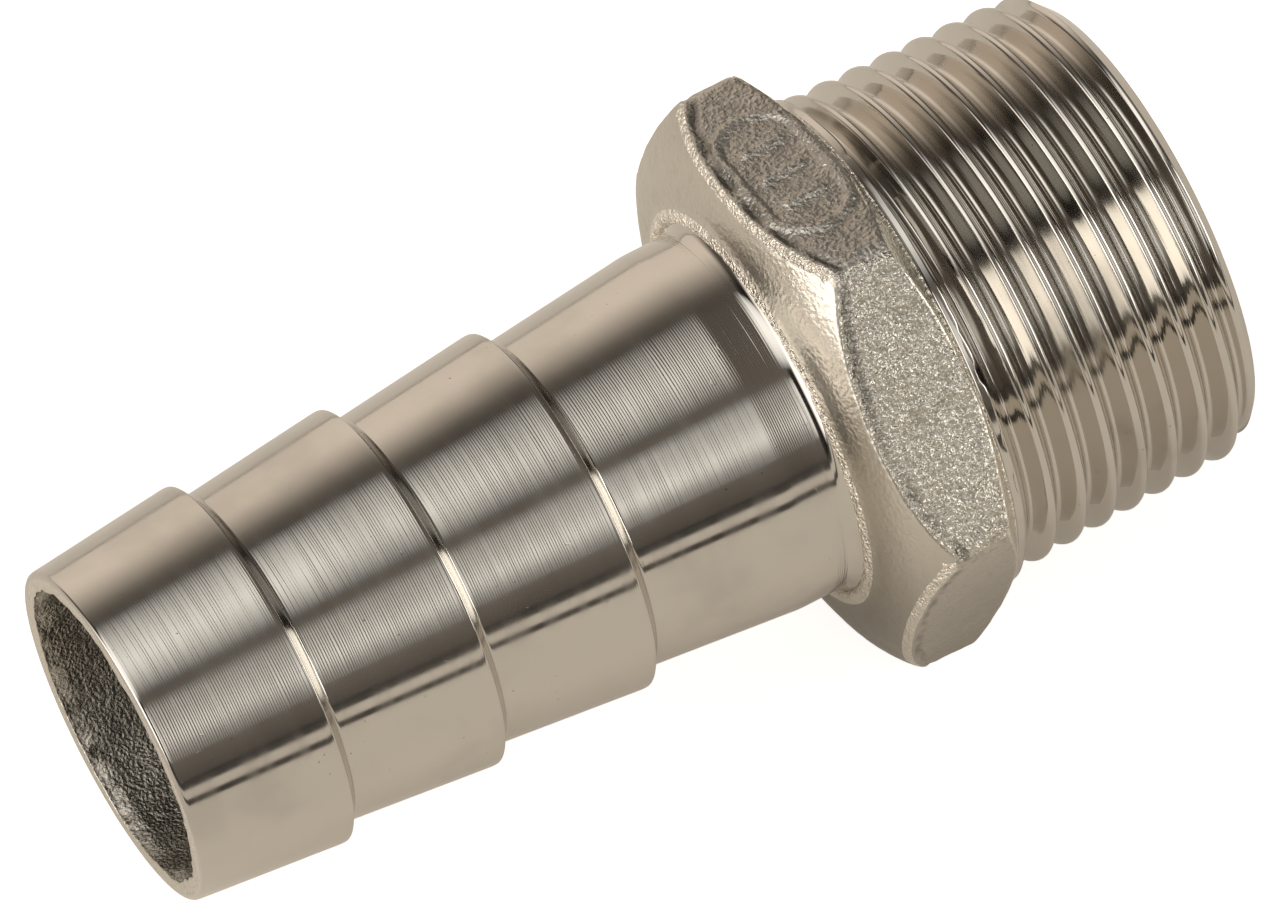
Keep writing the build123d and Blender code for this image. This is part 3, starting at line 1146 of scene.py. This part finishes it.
def studio_world():
    """White for the camera; for the rest a dim warm room with a pale sweep behind.

    The room's light depends on the elevation about the x axis, 0 to 180 degrees from the front
    horizon over the top to the back one.
    """
    world = bpy.data.worlds.new("studio")
    world.use_nodes = True
    tree = world.node_tree
    tree.nodes.clear()
    coordinates = tree.nodes.new("ShaderNodeTexCoord")
    split = tree.nodes.new("ShaderNodeSeparateXYZ")
    tree.links.new(coordinates.outputs["Generated"], split.inputs[0])
    front = multiply(tree, split.outputs["Y"], -1.0)
    elevation = math_node(tree, "ARCTAN2", split.outputs["Z"], front)
    turn = math_node(tree, "DIVIDE", elevation, radians(180), clamp=True)
    stops = [(degrees / 180, light) for degrees, light in ROOM_LIGHT]
    sideways = math_node(tree, "ABSOLUTE", split.outputs["X"])
    room = tree.nodes.new("ShaderNodeBackground")
    tree.links.new(light_ramp(tree, turn, stops, ROOM_TINT), room.inputs["Color"])
    dim = range_node(tree, sideways, ROOM_SIDE_EDGES, (1.0, ROOM_SIDES))
    tree.links.new(dim, room.inputs["Strength"])
    wall = tree.nodes.new("ShaderNodeBackground")
    wall.inputs["Color"].default_value = (*END_WALL_TINT, 1)
    wall_light = range_node(tree, split.outputs["X"], END_WALL_EDGES, (END_WALL_LIGHT, 0.0))
    tree.links.new(wall_light, wall.inputs["Strength"])
    white = tree.nodes.new("ShaderNodeBackground")
    white.inputs["Color"].default_value = (1, 1, 1, 1)
    camera_ray = tree.nodes.new("ShaderNodeLightPath").outputs["Is Camera Ray"]
    around = added(tree, room.outputs[0], wall.outputs[0])
    output = tree.nodes.new("ShaderNodeOutputWorld")
    tree.links.new(mixed(tree, camera_ray, around, white.outputs[0]), output.inputs["Surface"])
    bpy.context.scene.world = world


def add_camera(scene):
    """The scene's camera."""
    data = bpy.data.cameras.new("camera")
    data.lens = CAMERA_LENS
    data.sensor_width = CAMERA_SENSOR
    data.clip_start, data.clip_end = CAMERA_CLIP
    camera = bpy.data.objects.new("camera", data)
    camera.matrix_world = camera_matrix()
    scene.collection.objects.link(camera)
    scene.camera = camera


# Add-on


class HoseTailSettings(bpy.types.PropertyGroup):
    """Sizes of the hex's cast details, colours of the finishes, and how the floor glows."""

    mark_height: FloatProperty(
        name="Mark height", description="How far the mark stands above the upper flat",
        subtype="DISTANCE", unit="LENGTH", min=0, default=MARK_HEIGHT,
    )
    groove_depth: FloatProperty(
        name="Groove depth", description="Depth of the groove along each flat's back edge",
        subtype="DISTANCE", unit="LENGTH", min=0, default=GROOVE_DEPTH,
    )
    parting_height: FloatProperty(
        name="Parting line", description="How far the parting lines stand above the flats",
        subtype="DISTANCE", unit="LENGTH", min=0, default=PARTING_HEIGHT,
    )
    steel_colour: FloatVectorProperty(
        name="Turned steel", description="Colour of the turned surfaces",
        subtype="COLOR", size=3, min=0, max=1, default=(0.62, 0.585, 0.53),
    )
    cast_colour: FloatVectorProperty(
        name="Cast steel", description="Colour of the dome and of the bright flats",
        subtype="COLOR", size=3, min=0, max=1, default=(0.64, 0.60, 0.525),
    )
    dull_colour: FloatVectorProperty(
        name="Dull flats", description="Colour of the flats left as cast",
        subtype="COLOR", size=3, min=0, max=1, default=(0.58, 0.54, 0.48),
    )
    bore_colour: FloatVectorProperty(
        name="Cast bore", description="Colour of the bore's rough skin",
        subtype="COLOR", size=3, min=0, max=1, default=(0.47, 0.44, 0.385),
    )
    floor_colour: FloatVectorProperty(
        name="Floor", description="Colour of the paper under the tail",
        subtype="COLOR", size=3, min=0, max=1, default=(0.86, 0.80, 0.72),
    )
    floor_glow: FloatProperty(
        name="Floor glow", description="Light added to the floor for the camera alone",
        min=0, default=0.8,
    )
    mirrored_glow: FloatProperty(
        name="Mirrored glow", description="Light added to the floor where the steel mirrors it",
        min=0, default=0.16,
    )


class HOSETAIL_OT_tail(bpy.types.Operator):
    """Build the hose tail's closed skin and dress it in steel"""

    bl_idname = "hosetail.tail"
    bl_label = "Build hose tail"

    def execute(self, context):
        settings = context.scene.hose_tail
        groups = {
            "lathe": lathe_lines_group(),
            "grain": casting_grain_group(),
            "wear": fine_wear_group(),
        }
        mesh = skin_mesh("tail_skin", settings)
        for steel in STEELS:
            mesh.materials.append(steel(settings, groups))
        tail = bpy.data.objects.new("tail_skin", mesh)
        context.scene.collection.objects.link(tail)
        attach(tail, BODY)
        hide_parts(NODE)
        return {"FINISHED"}


class HOSETAIL_OT_stage(bpy.types.Operator):
    """Build the floor, the lights and the camera"""

    bl_idname = "hosetail.stage"
    bl_label = "Build stage"

    def execute(self, context):
        settings = context.scene.hose_tail
        scene = context.scene
        scene.view_settings.view_transform = "Standard"
        studio_world()
        level_plane("floor", FLOOR_HEIGHT, -STAGE_REACH, STAGE_REACH, floor_material(settings))
        cloth = cloth_material()
        for name, near_edge, far_edge in FLAGS:
            flag = level_plane(name, CLOTH_HEIGHT, -far_edge, -near_edge, cloth)
            flag.visible_camera = False
            flag.visible_diffuse = False
            flag.visible_shadow = False
        for name, x_range, profile in SOFTBOXES:
            softbox(name, x_range, profile)
        add_camera(scene)
        return {"FINISHED"}


class HOSETAIL_PT_panel(bpy.types.Panel):
    """Lists the hose tail's operators and settings"""

    bl_idname = "HOSETAIL_PT_panel"
    bl_label = "Hose tail"
    bl_space_type = "VIEW_3D"
    bl_region_type = "UI"
    bl_category = "Hose tail"

    def draw(self, context):
        for name in HoseTailSettings.__annotations__:
            self.layout.prop(context.scene.hose_tail, name)
        self.layout.operator(HOSETAIL_OT_tail.bl_idname)
        self.layout.operator(HOSETAIL_OT_stage.bl_idname)


CLASSES = (HoseTailSettings, HOSETAIL_OT_tail, HOSETAIL_OT_stage, HOSETAIL_PT_panel)


def register():
    """Register the classes and the scene's settings."""
    for item in CLASSES:
        bpy.utils.register_class(item)
    bpy.types.Scene.hose_tail = PointerProperty(type=HoseTailSettings)


def unregister():
    """Undo register."""
    del bpy.types.Scene.hose_tail
    for item in reversed(CLASSES):
        bpy.utils.unregister_class(item)


def main():
    """Build the tail and its stage."""
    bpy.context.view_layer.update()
    register()
    bpy.ops.hosetail.tail()
    bpy.ops.hosetail.stage()


if __name__ == "__main__":
    main()
